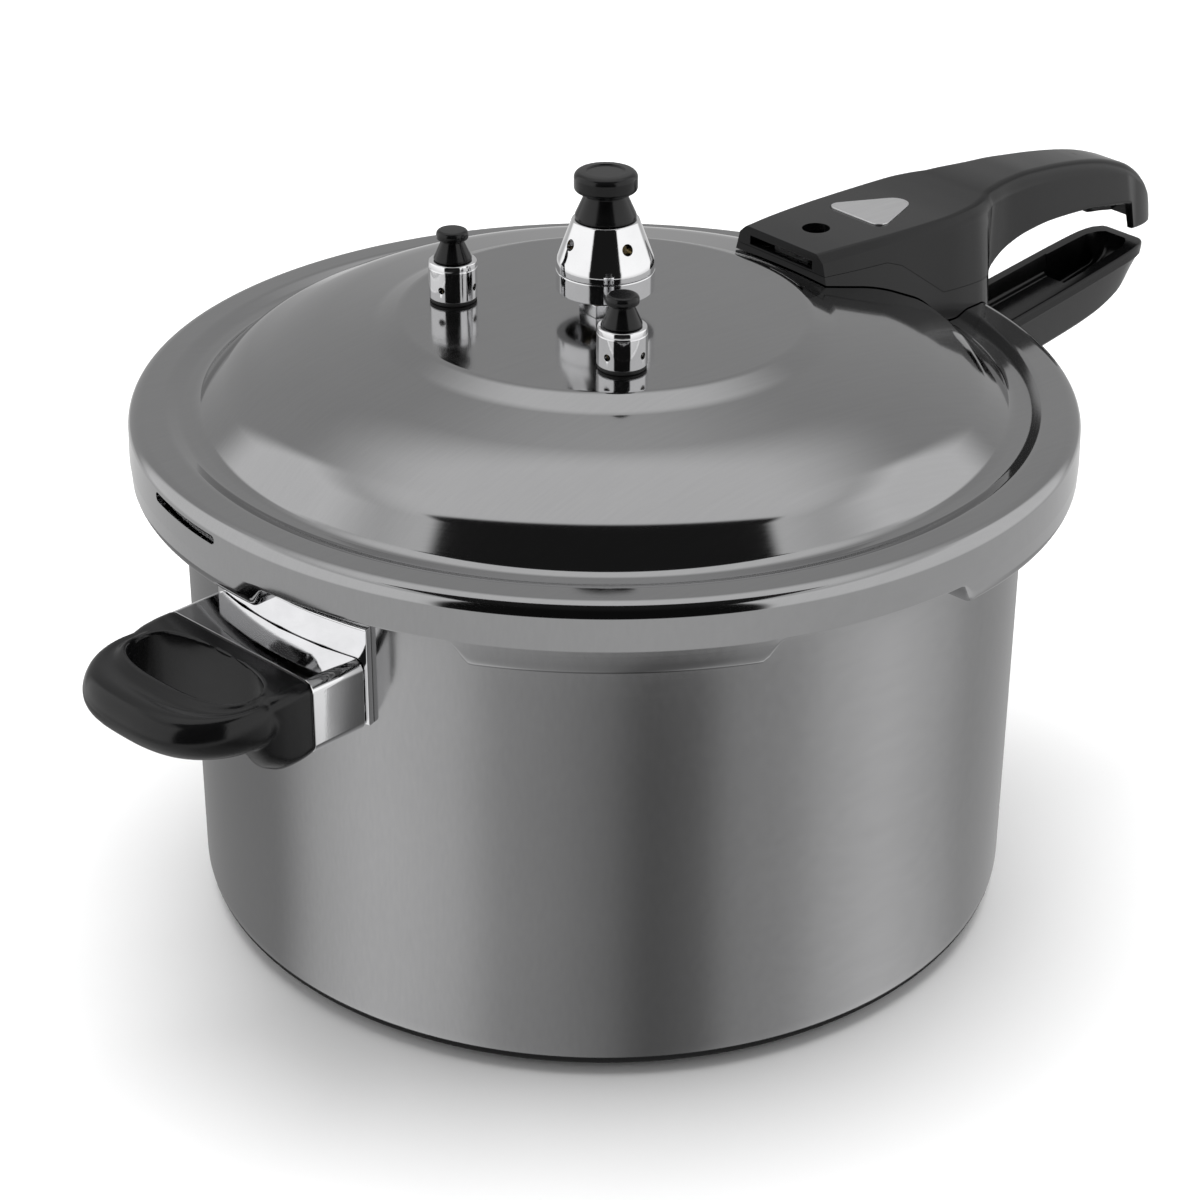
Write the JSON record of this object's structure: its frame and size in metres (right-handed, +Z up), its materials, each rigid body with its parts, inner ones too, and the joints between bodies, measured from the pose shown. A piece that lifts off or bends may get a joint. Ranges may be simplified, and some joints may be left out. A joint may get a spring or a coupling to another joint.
{
  "type": "stovetop pressure cooker",
  "caption": "Stovetop pressure cooker: aluminium pot with a twist-lock domed lid, long handles, loop helper handle, lift-off weight, pull-up safety valves and a float indicator.",
  "frame": {"origin": "centre of the pot's flat base, on the surface it stands on", "axes": "+Z up along the pot axis, +X along the long handles away from the pot, +Y completes the right-handed frame"},
  "size_m": [0.4328, 0.291, 0.2342],
  "materials": {
    "pot_aluminium": "satin, grey anodised",
    "lid_aluminium": "polished, grey anodised",
    "black_bakelite": "glossy moulded",
    "silicone_rubber": "matt",
    "black_rubber": "matt",
    "chrome_plate": "mirror",
    "badge_metal": "satin",
    "brass_fittings": "machined",
    "rivet_aluminium": "satin",
    "steel_fittings": "satin"
  },
  "bodies": {
    "pot": {"helper_bracket": "steel_fittings", "helper_handle": "black_bakelite", "helper_rivets": "rivet_aluminium", "helper_screws": "steel_fittings", "helper_sleeve": "chrome_plate", "pot_handle": "black_bakelite", "pot_handle_bracket": "steel_fittings", "pot_handle_rivets": "rivet_aluminium", "pot_handle_screw": "steel_fittings", "pot_shell": "pot_aluminium"},
    "seal": {"sealing_ring": "silicone_rubber"},
    "lid": {"anti_clog_cap": "steel_fittings", "float_bush": "brass_fittings", "lid_grip_cover": "black_bakelite", "lid_handle": "black_bakelite", "lid_handle_badge": "badge_metal", "lid_handle_base": "black_bakelite", "lid_handle_bracket": "steel_fittings", "lid_handle_rivets": "rivet_aluminium", "lid_handle_screws": "steel_fittings", "lid_shell": "lid_aluminium", "lock_slide_guides": "steel_fittings", "lock_spring": "steel_fittings", "valve_a_gasket": "black_rubber", "valve_a_housing": "chrome_plate", "valve_a_nut": "brass_fittings", "valve_a_seat": "brass_fittings", "valve_a_spring": "steel_fittings", "valve_a_washer": "silicone_rubber", "valve_b_gasket": "black_rubber", "valve_b_housing": "chrome_plate", "valve_b_nut": "brass_fittings", "valve_b_seat": "brass_fittings", "valve_b_spring": "steel_fittings", "valve_b_washer": "silicone_rubber", "vent_nut": "brass_fittings", "vent_pipe": "chrome_plate", "vent_washer": "silicone_rubber"},
    "weight": {"weight_base_ring": "chrome_plate", "weight_body": "chrome_plate", "weight_core": "brass_fittings", "weight_knob": "black_bakelite"},
    "valve_a_plunger": {"valve_a_knob": "black_bakelite", "valve_a_stem": "steel_fittings"},
    "valve_b_plunger": {"valve_b_knob": "black_bakelite", "valve_b_stem": "steel_fittings"},
    "float": {"float_clip": "steel_fittings", "float_pin": "steel_fittings", "float_seal": "silicone_rubber"},
    "lock": {"lock_slide": "steel_fittings"}
  },
  "joints": [
    {"name": "lid_lift", "type": "slide", "parent": "pot", "child": "seal", "axis": [0, 0, 1], "range_m": [0, 0.2]},
    {"name": "lid_turn", "type": "hinge", "parent": "seal", "child": "lid", "pos_m": [0, 0, 0.158], "axis": [0, 0, 1], "range_deg": [0, 30]},
    {"name": "weight_lift", "type": "slide", "parent": "lid", "child": "weight", "axis": [0, 0, 1], "range_m": [0, 0.03]},
    {"name": "valve_a_pull", "type": "slide", "parent": "lid", "child": "valve_a_plunger", "axis": [0, 0, 1], "range_m": [0, 0.0025], "stiffness_N_per_m": 800, "springref_m": -0.003, "deforming": ["valve_a_spring"]},
    {"name": "valve_b_pull", "type": "slide", "parent": "lid", "child": "valve_b_plunger", "axis": [0, 0, 1], "range_m": [0, 0.0025], "stiffness_N_per_m": 800, "springref_m": -0.003, "deforming": ["valve_b_spring"]},
    {"name": "float_rise", "type": "slide", "parent": "lid", "child": "float", "axis": [0, 0, 1], "range_m": [0, 0.005]},
    {"name": "lock_slide_travel", "type": "slide", "parent": "lid", "child": "lock", "axis": [1, 0, 0], "range_m": [0, 0.004]}
  ]
}
